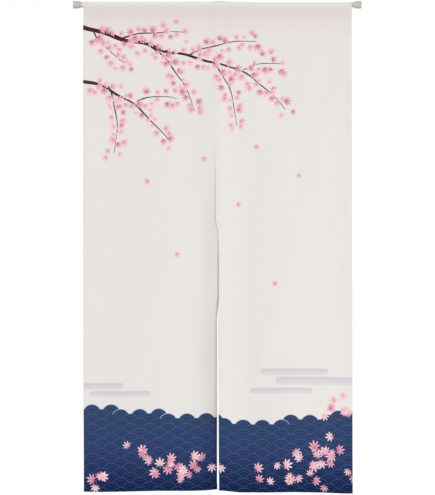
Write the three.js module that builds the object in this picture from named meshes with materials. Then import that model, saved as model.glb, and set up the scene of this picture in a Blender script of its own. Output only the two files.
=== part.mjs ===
// A noren: two printed cloth panels, lapped and sewn together at the top and open below, each
// with a rod sleeve folded from its own cloth, hung on a telescoping tension rod with two end caps.
//
// Millimetres, +Z up. The rod lies along +X and the curtain's front faces -Y. The origin is the
// centre of the left cap's outer face, on the rod's axis.

import * as THREE from "three";

// The rod, from cap face to cap face.
const ROD_LENGTH = 884;
const OUTER_TUBE = { radius: 8, bore: 6.8, end: 520 };
const INNER_TUBE = { radius: 6.5, bore: 5.7, start: 330 };
const GAP = 0.3; // between pieces that touch on the real thing
const ROUND_STEPS = 32;

// The caps: a head with a rounded face, a cone and a collar that takes the tube.
const CAP = { head: 11.2, headLength: 17, corner: 2.5, cornerSteps: 4, floor: 8 };
const LEFT_COLLAR = { radius: 9.1, coneLength: 4, length: 3 };
const RIGHT_COLLAR = { radius: 7.6, coneLength: 7, length: 4 };

// The cloth.
const CLOTH = 1.2; // thickness of one layer
const HEM_EXTRA = 0.8; // how much thicker a hem is, on the back
const HEM_EDGE = 1; // the hem's thickness steps down over this width
const SIDE_HEM = 9;
const BOTTOM_HEM = 18;

// Heights down the cloth.
const STITCH_Z = -36; // the line that closes the sleeve
const FLAP_END_Z = -41; // the turned end of the sleeve's back
const HEM_START_Z = -44; // the side hems thicken below this
const FLAT_Z = -50; // below this the cloth starts to wave
const SEAM_END_Z = -355; // the lap seam ends and the slit begins
const BOTTOM_Z = -1490; // the bottom row, before each panel's bottom edge stretches it

// The right panel laps over the left one: it stands in front by this rise, past the left
// panel's edge, and then comes back.
const LAP = { rise: CLOTH + HEM_EXTRA + GAP, clear: 2, ease: 9 };

// The sleeve's section.
const SLEEVE = { middle: OUTER_TUBE.radius + GAP + CLOTH / 2, roundSteps: 12, wallSteps: 3 };
const TUBE_STEP = { clear: 2, ease: 40 }; // how the sleeve settles past the outer tube's end

// Where each panel's side edges hang, at heights down the panel.
const LEFT_EDGES = [
  { z: 0, outer: 33, inner: 454 },
  { z: SEAM_END_Z, outer: 32, inner: 454 },
  { z: -600, outer: 32, inner: 450 },
  { z: -890, outer: 32, inner: 447.7 },
  { z: -965, outer: 32.2, inner: 441.4 },
  { z: -1500, outer: 34.5, inner: 441.5 },
];
const RIGHT_EDGES = [
  { z: 0, outer: 853.5, inner: 433 },
  { z: -440, outer: 854.4, inner: 434.5 },
  { z: -530, outer: 854.5, inner: 438.2 },
  { z: -655, outer: 854.5, inner: 438.4 },
  { z: -700, outer: 854.5, inner: 447.2 },
  { z: -900, outer: 855, inner: 447.4 },
  { z: -950, outer: 855.1, inner: 445.4 },
  { z: -1060, outer: 855.4, inner: 445.4 },
  { z: -1250, outer: 856.2, inner: 447.6 },
  { z: -1500, outer: 857, inner: 448.8 },
];

// Where the bottom edge hangs, at shares of the way from the outer to the inner edge.
const LEFT_BOTTOM = [
  { share: 0, z: -1494 },
  { share: 0.45, z: -1491.5 },
  { share: 1, z: -1488 },
];
const RIGHT_BOTTOM = [
  { share: 0, z: -1498.5 },
  { share: 0.35, z: -1494.5 },
  { share: 0.75, z: -1493.5 },
  { share: 1, z: -1489 },
];

// Soft folds: where across the panel from its outer edge, how wide, how far back (+Y), how far
// the fold drifts across by the bottom, and the heights where it begins and is full.
const LEFT_FOLDS = [
  { share: 0, wide: 34, back: 4, drift: 0, from: FLAT_Z, full: -500 },
  { share: 0.17, wide: 62, back: -3.5, drift: 0.03, from: FLAT_Z, full: -900 },
  { share: 0.5, wide: 85, back: 4.5, drift: -0.05, from: -120, full: -1000 },
  { share: 0.83, wide: 60, back: -6, drift: -0.03, from: -300, full: -900 },
  { share: 1, wide: 30, back: 14, drift: 0, from: SEAM_END_Z, full: -820 },
  { share: 1, wide: 12, back: 4, drift: 0, from: -960, full: -1130 },
];
const RIGHT_FOLDS = [
  { share: 0, wide: 20, back: 4, drift: 0, from: FLAT_Z, full: -500 },
  { share: 0.12, wide: 50, back: -4, drift: 0, from: FLAT_Z, full: -900 },
  { share: 0.47, wide: 90, back: 6, drift: 0.04, from: -120, full: -1000 },
  { share: 0.84, wide: 52, back: -7, drift: 0.02, from: -300, full: -900 },
  { share: 1, wide: 22, back: 4, drift: 0, from: SEAM_END_Z, full: -820 },
];

// About one face of the panels' mesh for this width and height.
const COLUMN_STEP = 21;
const ROW_STEP = 52;

const clothMaterial = new THREE.MeshStandardMaterial({
  color: 0xe7e2de,
  roughness: 0.9,
  metalness: 0,
});
const tubeMaterial = new THREE.MeshStandardMaterial({
  color: 0xd6d3cd,
  roughness: 0.4,
  metalness: 0.1,
});
const capMaterial = new THREE.MeshStandardMaterial({
  color: 0xc6c1b9,
  roughness: 0.5,
  metalness: 0,
});

const { clamp, lerp, smoothstep } = THREE.MathUtils;

// A value read from a short table, eased between its rows.
function fromTable(table, along, column, at) {
  const rising = table[table.length - 1][along] > table[0][along];
  const rows = rising ? table : [...table].reverse();
  const next = rows.findIndex((row) => row[along] >= at);
  if (next === 0) return rows[0][column];
  if (next < 0) return rows[rows.length - 1][column];
  const [a, b] = [rows[next - 1], rows[next]];
  return lerp(a[column], b[column], smoothstep(at, a[along], b[along]));
}

// Even stations from one place to another, without the first.
function stations(from, to, step) {
  const count = Math.max(1, Math.round(Math.abs(to - from) / step));
  return Array.from({ length: count }, (_, i) => lerp(from, to, (i + 1) / count));
}

// The sleeve's section as (y, z): up its front, over the rod and down its back to the flap's end.
function sleeveSection() {
  const seam = new THREE.Vector2(CLOTH / 2 + GAP / 2, STITCH_Z);
  const lean = Math.asin(SLEEVE.middle / seam.length()) - Math.atan2(seam.x, -seam.y);
  const round = new THREE.EllipseCurve(
    0,
    0,
    SLEEVE.middle,
    SLEEVE.middle,
    Math.PI + lean,
    -lean,
    true,
  ).getPoints(SLEEVE.roundSteps);
  const wall = (from, to) =>
    stations(0, 1, 1 / SLEEVE.wallSteps).map((share) => from.clone().lerp(to, share));
  const up = wall(new THREE.Vector2(-seam.x, seam.y), round[0]).slice(0, -1);
  const down = wall(round[round.length - 1], seam);
  return [...up, ...round, ...down, new THREE.Vector2(seam.x, FLAP_END_Z)];
}

// How far down the sleeve sits where the rod is its thinner tube.
function sleeveDrop(x) {
  const from = OUTER_TUBE.end + TUBE_STEP.clear;
  return smoothstep(x, from, from + TUBE_STEP.ease) * (OUTER_TUBE.radius - INNER_TUBE.radius);
}

// How far back the panel's folds carry it, at a share of the way across and a height.
function foldBack(panel, share, z) {
  const depth = clamp(z / BOTTOM_Z, 0, 1);
  return panel.folds.reduce((sum, fold) => {
    const grown = smoothstep(-z, -fold.from, -fold.full);
    const away = ((share - fold.share - fold.drift * depth) * panel.width) / fold.wide;
    return sum + fold.back * grown * Math.exp(-away * away);
  }, 0);
}

// The rows of a panel, from the bottom edge up: hanging rows by height, then the sleeve's section.
function panelRows() {
  const hemTop = BOTTOM_Z + BOTTOM_HEM;
  const hanging = [
    BOTTOM_Z,
    hemTop - HEM_EDGE,
    hemTop,
    ...stations(hemTop, SEAM_END_Z, ROW_STEP),
    ...stations(SEAM_END_Z, FLAT_Z, ROW_STEP),
    HEM_START_Z,
    STITCH_Z,
  ];
  return [...hanging.map((z) => ({ z })), ...sleeveSection().map((place) => ({ place }))];
}

// The columns of a panel, as shares from the outer edge to the inner one: a pair at each hem, and
// a pair where a lapping panel comes back.
function panelColumns(panel) {
  const share = (x) => x / panel.width;
  const hem = share(SIDE_HEM);
  const hemEdge = share(SIDE_HEM + HEM_EDGE);
  const lap = panel.lapEnd ? [share(panel.lapEnd - LAP.ease), share(panel.lapEnd)] : [];
  const openEnd = lap.length > 0 ? lap[0] : 1 - hemEdge;
  const open = stations(hemEdge, openEnd, share(COLUMN_STEP));
  const rest = lap.length > 0 ? [lap[1], 1 - hemEdge] : [];
  return [0, hem, hemEdge, ...open, ...rest, 1 - hem, 1];
}

// A point of the panel's mid-surface, before its thickness.
function middle(panel, share, row) {
  const edgeZ = row.place ? 0 : row.z;
  const outer = fromTable(panel.edges, "z", "outer", edgeZ);
  const inner = fromTable(panel.edges, "z", "inner", edgeZ);
  const x = lerp(outer, inner, share);
  if (row.place) {
    const drop = sleeveDrop(x) * smoothstep(row.place.y, STITCH_Z, 0);
    return new THREE.Vector3(x, row.place.x, row.place.y - drop);
  }
  const edge = fromTable(panel.bottom, "share", "z", share);
  const stretch = (edge - STITCH_Z) / (BOTTOM_Z - STITCH_Z);
  const y = foldBack(panel, share, row.z) - (CLOTH / 2 + GAP / 2);
  return new THREE.Vector3(x, y, STITCH_Z + (row.z - STITCH_Z) * stretch);
}

// How far a lapping panel stands out along its own face.
function lapRise(panel, share) {
  if (!panel.lapEnd) return 0;
  const along = share * panel.width;
  return LAP.rise * smoothstep(along, panel.lapEnd - LAP.ease, panel.lapEnd);
}

// How much thicker the cloth is on its back, in the hems below the sleeve.
function hemExtra(panel, share, row) {
  if (row.place || row.z > FLAT_Z) return 0;
  const inSide = Math.min(share, 1 - share) * panel.width < SIDE_HEM + HEM_EDGE / 2;
  const inBottom = row.z < BOTTOM_Z + BOTTOM_HEM - HEM_EDGE / 2;
  return inSide || inBottom ? HEM_EXTRA : 0;
}

// One panel as a closed sheet: a box of one cell's thickness, bent onto the mid-surface.
function panelGeometry(panel) {
  const rows = panelRows();
  const columns = panelColumns(panel);
  const mid = rows.map((row) => columns.map((share) => middle(panel, share, row)));
  const last = { row: rows.length - 1, column: columns.length - 1 };
  const outward = (r, c) => {
    const up = mid[Math.min(r + 1, last.row)][c].clone().sub(mid[Math.max(r - 1, 0)][c]);
    const across = mid[r][Math.min(c + 1, last.column)].clone().sub(mid[r][Math.max(c - 1, 0)]);
    return across.cross(up).multiplyScalar(panel.facing).normalize();
  };
  const geometry = new THREE.BoxGeometry(1, 1, 1, last.column, last.row, 1);
  const at = geometry.getAttribute("position");
  for (let i = 0; i < at.count; i++) {
    const across = Math.round((at.getX(i) + 0.5) * last.column);
    const c = panel.facing > 0 ? across : last.column - across;
    const r = Math.round((at.getY(i) + 0.5) * last.row);
    const isFront = at.getZ(i) > 0;
    const half = isFront ? CLOTH / 2 : -CLOTH / 2 - hemExtra(panel, columns[c], rows[r]);
    const offset = lapRise(panel, columns[c]) + half;
    const point = mid[r][c].clone().addScaledVector(outward(r, c), offset);
    at.setXYZ(i, point.x, point.y, point.z);
  }
  geometry.deleteAttribute("uv");
  geometry.computeVertexNormals();
  return geometry;
}

// A turned piece: its profile is a list of (distance along the rod, radius).
function turned(profile) {
  const points = profile.map(([along, radius]) => new THREE.Vector2(radius, along));
  return new THREE.LatheGeometry(points, ROUND_STEPS).rotateZ(-Math.PI / 2);
}

function tube(from, to, radius, bore) {
  return turned([
    [from, bore],
    [from, radius],
    [to, radius],
    [to, bore],
    [from, bore],
  ]);
}

// A cap with its face at 0 and its collar towards +X.
function cap(collar, tubeRadius) {
  const coneEnd = CAP.headLength + collar.coneLength;
  const end = coneEnd + collar.length;
  const socket = tubeRadius + GAP;
  const corner = Array.from({ length: CAP.cornerSteps + 1 }, (_, i) => {
    const turn = ((Math.PI / 2) * i) / CAP.cornerSteps;
    return [CAP.corner * (1 - Math.cos(turn)), CAP.head - CAP.corner * (1 - Math.sin(turn))];
  });
  return turned([
    [0, 0],
    ...corner,
    [CAP.headLength, CAP.head],
    [coneEnd, collar.radius],
    [end, collar.radius],
    [end, socket],
    [CAP.floor, socket],
    [CAP.floor, 0],
  ]);
}

function named(name, geometry, material) {
  const mesh = new THREE.Mesh(geometry, material);
  mesh.name = name;
  return mesh;
}

const leftPanel = {
  width: LEFT_EDGES[0].inner - LEFT_EDGES[0].outer,
  edges: LEFT_EDGES,
  bottom: LEFT_BOTTOM,
  folds: LEFT_FOLDS,
  facing: 1,
};
const rightPanel = {
  width: RIGHT_EDGES[0].outer - RIGHT_EDGES[0].inner,
  edges: RIGHT_EDGES,
  bottom: RIGHT_BOTTOM,
  folds: RIGHT_FOLDS,
  facing: -1,
  lapEnd: RIGHT_EDGES[0].outer - (LEFT_EDGES[0].inner + LAP.clear),
};

const seat = CAP.floor + GAP; // a tube's end stands this far inside its cap's face
const outerTube = tube(seat, OUTER_TUBE.end, OUTER_TUBE.radius, OUTER_TUBE.bore);
const innerTube = tube(INNER_TUBE.start, ROD_LENGTH - seat, INNER_TUBE.radius, INNER_TUBE.bore);
const leftCap = named("rod_left_cap", cap(LEFT_COLLAR, OUTER_TUBE.radius), capMaterial);
const rightCap = named("rod_right_cap", cap(RIGHT_COLLAR, INNER_TUBE.radius), capMaterial);
rightCap.rotation.z = Math.PI;
rightCap.position.x = ROD_LENGTH;

const noren = new THREE.Group();
noren.add(
  named("left_panel", panelGeometry(leftPanel), clothMaterial),
  named("right_panel", panelGeometry(rightPanel), clothMaterial),
  named("rod_outer_tube", outerTube, tubeMaterial),
  named("rod_inner_tube", innerTube, tubeMaterial),
  leftCap,
  rightCap,
);

export default noren;
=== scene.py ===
# %% [markdown]
# A noren is a short split curtain that hangs in a doorway. This one is two printed panels of
# plain-woven cloth. They are sewn together for the top quarter of their height and hang free below
# it. Each panel's top is folded to the back and stitched, which makes the sleeve that the rod
# passes through.
#
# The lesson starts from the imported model, whose solids have the right size and place but no looks.
# Every sheet, thread and turned piece below is made around it, in the same metres.

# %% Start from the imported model
import math
from functools import partial

import bmesh
import bpy
import numpy as np
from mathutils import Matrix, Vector
from mathutils.geometry import delaunay_2d_cdt
from mathutils.kdtree import KDTree


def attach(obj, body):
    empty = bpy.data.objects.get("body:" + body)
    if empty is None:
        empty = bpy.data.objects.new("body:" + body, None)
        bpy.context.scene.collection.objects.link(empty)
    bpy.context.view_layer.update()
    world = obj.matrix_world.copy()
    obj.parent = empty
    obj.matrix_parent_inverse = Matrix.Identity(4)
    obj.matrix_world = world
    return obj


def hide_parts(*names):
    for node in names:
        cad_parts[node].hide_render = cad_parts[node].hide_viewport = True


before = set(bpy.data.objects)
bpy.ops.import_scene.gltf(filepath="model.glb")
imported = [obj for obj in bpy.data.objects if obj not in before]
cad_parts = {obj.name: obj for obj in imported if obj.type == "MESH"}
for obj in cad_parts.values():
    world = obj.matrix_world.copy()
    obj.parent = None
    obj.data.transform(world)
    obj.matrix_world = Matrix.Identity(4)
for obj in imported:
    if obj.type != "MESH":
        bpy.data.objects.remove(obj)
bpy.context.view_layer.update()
MM = 0.001  # the lesson's own sizes are in millimetres, and the scene is in metres


def named_rows(columns, *rows):
    """A short table as one dictionary a row, so that its columns' names are said once."""
    return [dict(zip(columns.split(), row)) for row in rows]


# %% [markdown]
# The photograph looks straight at the curtain's front with almost no perspective, so the camera
# stands far back with a long lens. In a portrait frame the sensor's long side is the height, and
# the lens follows from the distance and the height that the frame takes in.

# %% Place the camera
PIXELS_TALL = 495
VIEW = {"middle_x": 443.0, "middle_z": -744.1, "tall": 1517.7, "away": 5000.0}

eye = bpy.data.cameras.new("camera")
eye.lens = eye.sensor_width * VIEW["away"] / VIEW["tall"]
camera = bpy.data.objects.new("camera", eye)
bpy.context.scene.collection.objects.link(camera)
camera.location = (VIEW["middle_x"] * MM, -VIEW["away"] * MM, VIEW["middle_z"] * MM)
camera.rotation_euler = (math.pi / 2, 0, 0)
bpy.context.scene.camera = camera
bpy.context.scene.view_settings.view_transform = "Standard"
print("lens", round(eye.lens, 1), "mm; a pixel is", round(VIEW["tall"] / PIXELS_TALL, 2), "mm of cloth")

# %% [markdown]
# The product stands before plain white under soft studio light. A white world gives the even part.
# What the camera sees of it stays pure white, and what lights the cloth can be set apart from
# that. A large light far off to the left gives the direction that makes the soft folds show. A
# smaller one near the right lifts that side a little.

# %% Light it and lay a floor
WORLD_LIGHT = 0.46
LIGHTS = named_rows(
    "name place wide watts",
    ("key", (-4.6, -6.9, 3.8), 3.0, 444.0),
    ("fill", (1.6, -2.2, -0.9), 1.2, 14.0),
)
FLOOR = {"z": -1.95, "half": 1.9, "tone": 0.86, "rough": 0.8}
WHITE = (1.0, 1.0, 1.0, 1.0)


def add_node(tree, kind, inputs=(), **settings):
    """A new shader node, its settings made and its inputs set to values or joined to sockets."""
    node = tree.nodes.new("ShaderNode" + kind)
    for name, value in settings.items():
        setattr(node, name, value)
    for socket, value in dict(inputs).items():
        if isinstance(value, bpy.types.NodeSocket):
            tree.links.new(value, node.inputs[socket])
        else:
            node.inputs[socket].default_value = value
    return node


world = bpy.data.worlds.new("white studio")
bpy.context.scene.world = world
world.use_nodes = True
sky = world.node_tree
lit = sky.nodes["Background"]
lit.inputs["Strength"].default_value = WORLD_LIGHT
lit.inputs["Color"].default_value = WHITE
seen = add_node(sky, "Background", {"Color": WHITE})
path = add_node(sky, "LightPath")
either = {"Fac": path.outputs["Is Camera Ray"], 1: lit.outputs["Background"], 2: seen.outputs["Background"]}
choose = add_node(sky, "MixShader", either)
sky.links.new(choose.outputs["Shader"], sky.nodes["World Output"].inputs["Surface"])

for light in LIGHTS:
    softbox = bpy.data.lights.new(light["name"], "AREA")
    softbox.shape = "SQUARE"
    softbox.size = light["wide"]
    softbox.energy = light["watts"]
    stand = bpy.data.objects.new(light["name"], softbox)
    bpy.context.scene.collection.objects.link(stand)
    stand.location = light["place"]
    aim = Vector((VIEW["middle_x"] * MM, 0, VIEW["middle_z"] * MM)) - stand.location
    stand.rotation_euler = aim.to_track_quat("-Z", "Y").to_euler()


def own_material(name, colour, rough):
    """A Principled material with its colour and roughness set, and its node tree's parts."""
    material = bpy.data.materials.new(name)
    material.use_nodes = True
    tree = material.node_tree
    shader = tree.nodes["Principled BSDF"]
    shader.inputs["Base Color"].default_value = (*colour, 1.0)
    shader.inputs["Roughness"].default_value = rough
    return material, tree, shader


def new_object(name, mesh):
    piece = bpy.data.objects.new(name, mesh)
    bpy.context.scene.collection.objects.link(piece)
    return piece


bm = bmesh.new()
bmesh.ops.create_grid(bm, x_segments=1, y_segments=1, size=FLOOR["half"])
bmesh.ops.translate(bm, verts=bm.verts, vec=(VIEW["middle_x"] * MM, 0, FLOOR["z"]))
floor_mesh = bpy.data.meshes.new("floor")
bm.to_mesh(floor_mesh)
bm.free()
floor = new_object("floor", floor_mesh)
pale, _, _ = own_material("pale floor", [FLOOR["tone"]] * 3, FLOOR["rough"])
floor_mesh.materials.append(pale)
print("floor", FLOOR["z"], "m; lights", [(light["name"], light["watts"]) for light in LIGHTS])

# %% [markdown]
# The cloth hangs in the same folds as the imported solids, so the lesson repeats their measures: the
# panels' edges as they hang, the uneven hem and a short table of soft folds. They are drawn a
# little finer here: an edge moves by a millimetre or so, a few folds are softer, both panels dip
# together along the lap, and the slit has narrow curls beside it. A fold is a bump across the panel
# that grows on the way down. All of these are in the hung cloth's own plane, with p across to the
# right and q up the cloth, both in millimetres.

# %% Repeat the hung cloth's measures
STITCH_Q = -36.0  # the line that closes the sleeve
FLAT_Q = -50.0  # below this the cloth starts to wave
SEAM_END_Q = -355.0  # the lap seam ends and the slit begins
BOTTOM_Q = -1490.0

LEFT = {
    "name": "left",
    "outer": 33.0,
    "inner": 454.0,
    "edges": named_rows(
        "q outer inner",
        (0, 33, 454),
        (-90, 31.4, 454),
        (SEAM_END_Q, 31.2, 454),
        (-600, 31.2, 450),
        (-890, 31.4, 449),
        (-965, 31.6, 440.8),
        (-1500, 33.6, 440.9),
    ),
    "bottom": named_rows(
        "share z",
        (0, -1493),
        (0.35, -1491.8),
        (0.6, -1489.8),
        (1, -1488.6),
    ),
    "folds": named_rows(
        "share wide back drift start full",
        (0, 34, 4, 0, FLAT_Q, -500),
        (0.17, 62, -3.5, 0.03, FLAT_Q, -900),
        (0.5, 85, 3, -0.05, -120, -1000),
        (0.83, 60, -3.5, -0.03, -300, -900),
        (0.979, 42, 6, 0, FLAT_Q, -260),
        (1, 30, 11.5, 0, SEAM_END_Q, -820),
        (1, 12, 4, 0, -960, -1130),
        (1, 3.2, 7, 0, -690, -810),
        (1, 3.2, -7, 0, -885, -950),
        (1, 3.8, 2.6, 0, -880, -960),
    ),
    "laps": False,
}
RIGHT = {
    "name": "right",
    "outer": 853.5,
    "inner": 433.0,
    "edges": named_rows(
        "q outer inner",
        (0, 853.5, 433),
        (-440, 854.4, 434.5),
        (-530, 854.5, 438.2),
        (-655, 854.5, 438.4),
        (-700, 854.5, 447.2),
        (-900, 855, 447.4),
        (-950, 855.1, 445),
        (-1020, 855.3, 445),
        (-1150, 855.8, 446.2),
        (-1330, 856.5, 447.4),
        (-1500, 857, 448.4),
    ),
    "bottom": named_rows(
        "share z",
        (0, -1498),
        (0.25, -1494.9),
        (0.45, -1494.4),
        (0.65, -1495.3),
        (0.8, -1494),
        (1, -1489.2),
    ),
    "folds": named_rows(
        "share wide back drift start full",
        (0, 20, 0.8, 0, FLAT_Q, -500),
        (0.12, 50, -2.5, 0, FLAT_Q, -900),
        (0.47, 90, 6, 0.04, -120, -1000),
        (0.84, 52, -7, 0.02, -300, -900),
        (0.9715, 42, 6, 0, FLAT_Q, -260),
        (1, 22, 1.5, 0, SEAM_END_Q, -820),
        (1, 6, 5, 0, -655, -710),
        (1, 6, -5, 0, -880, -960),
    ),
    "laps": True,
}


def sides_of(panel):
    """The flat finished panel's left and right edges."""
    return sorted((panel["outer"], panel["inner"]))


def ease(value, start, end):
    """0 before start, 1 after end, and a soft S between them."""
    share = np.clip((value - start) / (end - start), 0.0, 1.0)
    return share * share * (3 - 2 * share)


def from_table(table, along, column, at):
    """A value read from a short table, eased between its rows."""
    rows = sorted(table, key=lambda row: row[along])
    keys = np.array([row[along] for row in rows], dtype=float)
    values = np.array([row[column] for row in rows], dtype=float)
    upper = np.clip(np.searchsorted(keys, at), 1, len(keys) - 1)
    share = ease(at, keys[upper - 1], keys[upper])
    return values[upper - 1] + (values[upper] - values[upper - 1]) * share


def folds_back(panel, share, q):
    """How far back the panel's soft folds carry the cloth."""
    width = abs(panel["inner"] - panel["outer"])
    depth = np.clip(q / BOTTOM_Q, 0.0, 1.0)
    total = np.zeros_like(share)
    for fold in panel["folds"]:
        grown = ease(-q, -fold["start"], -fold["full"])
        away = (share - fold["share"] - fold["drift"] * depth) * width / fold["wide"]
        total += fold["back"] * grown * np.exp(-away * away)
    return total


print("panels", [abs(p["inner"] - p["outer"]) for p in (LEFT, RIGHT)], "mm wide")

# %% [markdown]
# The sleeve is a closed loop of cloth with a section like a drop. It is round where it lies on the
# rod and straight where it falls to the stitching. Its shape follows from the rod's radius and the
# height of the stitch line alone: two tangents and the arc between them. On the thinner tube,
# past the end of the thicker one, the loop sits a little lower.

# %% Shape the sleeve
SHEET = 0.35  # the cloth's thickness
TUBE = {"outer": 8.0, "inner": 6.5, "outer_end": 520.0}
SLACK = 0.08  # between the thicker tube and the cloth that lies on it
SLEEVE_R = TUBE["outer"] + SLACK + SHEET / 2
SINK = {"past": 2.0, "over": 40.0}  # past the thicker tube's end the loop sinks over this way
LAYER_Y = 0.95  # the front sheet and the flap lie this far before and behind the middle
FLAP = 5.0  # the flap reaches this far below the stitch line

seam_length = math.hypot(LAYER_Y, STITCH_Q)
WALL = math.sqrt(seam_length**2 - SLEEVE_R**2)
LEAN = math.asin(SLEEVE_R / seam_length) - math.atan2(LAYER_Y, -STITCH_Q)
WRAP = SLEEVE_R * (math.pi + 2 * LEAN)
FLAP_STITCH_Q = STITCH_Q + 2 * WALL + WRAP  # the stitch line again, on the back
FLAP_END_Q = FLAP_STITCH_Q + FLAP


def sleeve_section(way):
    """(y, z) of the sleeve's middle at a way along it from the front stitch line."""
    turn = math.pi + LEAN - np.clip(way - WALL, 0, WRAP) / SLEEVE_R
    y = SLEEVE_R * np.cos(turn)
    z = SLEEVE_R * np.sin(turn)
    rise = np.clip(way / WALL, 0, 1)
    front = way < WALL
    y = np.where(front, -LAYER_Y + (y + LAYER_Y) * rise, y)
    z = np.where(front, STITCH_Q + (z - STITCH_Q) * rise, z)
    fall = np.clip((way - WALL - WRAP) / WALL, 0, 1)
    back = way > WALL + WRAP
    y = np.where(back, y + (LAYER_Y - y) * fall, y)
    z = np.where(back, z + (STITCH_Q - z) * fall, z)
    return y, z - np.clip(way - 2 * WALL - WRAP, 0, None)


def sleeve_drop(x, z):
    """How much lower the loop sits on the thinner tube."""
    start = TUBE["outer_end"] + SINK["past"]
    lower = ease(x, start, start + SINK["over"]) * (TUBE["outer"] - TUBE["inner"])
    return lower * ease(z, STITCH_Q, 0)


def middle(panel, p, q):
    """The hung cloth's middle surface, before hems and small relief: an array of x, y, z."""
    share = (p - panel["outer"]) / (panel["inner"] - panel["outer"])
    edge_q = np.where(q > STITCH_Q, 0.0, q)
    outer = from_table(panel["edges"], "q", "outer", edge_q)
    inner = from_table(panel["edges"], "q", "inner", edge_q)
    x = outer + (inner - outer) * share
    edge = from_table(panel["bottom"], "share", "z", np.clip(share, 0, 1))
    stretch = (edge - STITCH_Q) / (BOTTOM_Q - STITCH_Q)
    hung_z = STITCH_Q + (q - STITCH_Q) * stretch
    hung_y = folds_back(panel, share, q) - LAYER_Y
    loop_y, loop_z = sleeve_section(np.clip(q - STITCH_Q, 0, None))
    loop_z = loop_z - sleeve_drop(x, loop_z)
    in_loop = q > STITCH_Q
    y = np.where(in_loop, loop_y, hung_y)
    return np.stack([x, y, np.where(in_loop, loop_z, hung_z)], axis=-1)


print("sleeve", round(2 * WALL + WRAP, 1), "mm round; the flap ends at q", round(FLAP_END_Q, 1))

# %% [markdown]
# Hems are what tells a sewn cloth from a printed card. The edge is turned to the back and its raw
# end is tucked under, so from the front an edge is a small round fold, and from the back a strip
# with a second fold. Solid strips laid on the back would leave the edge blunt. Here the sheet is
# cut wider than the finished panel, and what lies past an edge is carried round: a half turn, a
# run back inwards, a tighter half turn under, and a short tuck. The sides are folded first and
# then the ends, as a sewer does it, so the corners stack up thick.

# %% Fold the hems
TURN_R = 0.45  # of the edge's own fold, at the sheet's middle
FOLD_DEEP = 2 * TURN_R
TUCK_R = 0.25  # of the tighter fold at the raw end
TUCK = 3.0
SIDE_HEM = 9.0
BOTTOM_HEM = 18.0
FLAP_HEM = 8.0  # turned under once, since its raw end is hidden in the sleeve's seam
HEM_EASE = 3.0  # what a hem lifts comes back over this way
SIDE_ROW = SIDE_HEM - 1.0  # a side hem's stitches, in from the edge
BOTTOM_ROW_Q = BOTTOM_Q + BOTTOM_HEM - 1.5
CORNER_BULK = {"bottom": 3.3, "flap": 1.5}  # extra depth of an end's folds over a side hem


def hem_allowance(wide):
    """How much cloth a hem of this width takes past the finished edge."""
    return math.pi * TURN_R + wide + math.pi * TUCK_R + TUCK


def hem_fold(past, wide):
    """Where cloth past an edge lies: its way in from the edge, its depth and which way it faces."""
    past = np.clip(past, 0, None)
    turn = np.clip(past / TURN_R, 0, math.pi)
    run = np.clip(past - math.pi * TURN_R, 0, wide)
    under = np.clip((past - math.pi * TURN_R - wide) / TUCK_R, 0, math.pi)
    tuck = np.clip(past - hem_allowance(wide) + TUCK, 0, None)
    inwards = run - TURN_R * np.sin(turn) + TUCK_R * np.sin(under) - tuck
    depth = TURN_R * (1 - np.cos(turn)) - TUCK_R * (1 - np.cos(under))
    return inwards, depth, np.cos(turn) * np.cos(under)


def near_side(panel, p):
    """1 over a panel's side hems and 0 between them."""
    low, high = sides_of(panel)
    return 1 - ease(np.minimum(p - low, high - p), SIDE_HEM, SIDE_HEM + HEM_EASE)


LAP_RISE = 1.8  # the right panel stands this far in front of the left one at the lap
LAP_BACK = {"start": LEFT["inner"] + 2, "end": LEFT["inner"] + 50}  # and comes back over this way
FLAP_EASE = 4.0  # the right panel starts to rise this far before the left flap's hem


def stand_out(panel, p, q):
    """How far the cloth stands off its middle surface, where it passes over its own hems or a lap."""
    way = q - STITCH_Q
    lifts = [0, FOLD_DEEP, FOLD_DEEP, 2 * FOLD_DEEP]
    over_hem = np.interp(way, [0, WALL, WALL + WRAP, 2 * WALL + WRAP], lifts)
    out = over_hem * near_side(panel, p)
    if panel["laps"]:
        flap_hem = FLAP_END_Q - FLAP_HEM
        over_flap = FOLD_DEEP * ease(q, flap_hem - FLAP_EASE, flap_hem)
        rise = LAP_RISE + over_hem / 2 * near_side(LEFT, p) + over_flap
        out = out + rise * (1 - ease(p, LAP_BACK["start"], LAP_BACK["end"]))
    return out


takes = [round(hem_allowance(wide), 1) for wide in (SIDE_HEM, BOTTOM_HEM)]
print("a side hem and the bottom one take", takes, "mm of cloth")

# %% [markdown]
# Cloth is never quite smooth. Three things are added to the large folds, all small and all along
# the surface's normal: a slow unevenness over the whole panel, the puckers that a machine stitch
# draws up beside each seam with the dip that it leaves along a side hem, and a few listed creases,
# each one a soft trough with a place, a length and a lean.

# %% Add the small relief
UNEVEN = named_rows(  # slow waves over the cloth: their lengths across and up, size and phase
    "across up size phase",
    (173, 610, 0.55, 0.4),
    (-118, 388, 0.4, 2.1),
    (71, -270, 0.22, 4.0),
    (47, 145, 0.1, 1.3),
)
CREASES = named_rows(  # troughs: place, half width, half length, lean from upright in degrees, depth
    "p q wide long lean deep",
    (312, -22, 5, 12, -8, 0.9),
    (338, -48, 5, 16, 6, 0.7),
    (426, -40, 4, 22, 0, 1.0),
    (250, -52, 9, 26, -12, 0.5),
    (120, -50, 10, 24, 10, 0.5),
    (560, -50, 8, 24, -10, 0.5),
    (690, -52, 9, 26, 8, 0.5),
    (790, -44, 6, 20, 4, 0.6),
    (302, -640, 12, 80, 12, 0.8),
    (262, -905, 10, 45, -20, 0.5),
    (330, -960, 14, 60, 25, 0.6),
    (385, -560, 10, 60, 14, 0.7),
    (640, -760, 12, 55, -28, 0.6),
    (668, -905, 12, 60, -32, 0.6),
    (760, -1010, 14, 55, 20, 0.5),
    (560, -1080, 12, 50, 30, 0.5),
)
PUCKER = {"size": 0.16, "reach": 4.0, "pitch": 7.3, "stray": 1.7}
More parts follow.
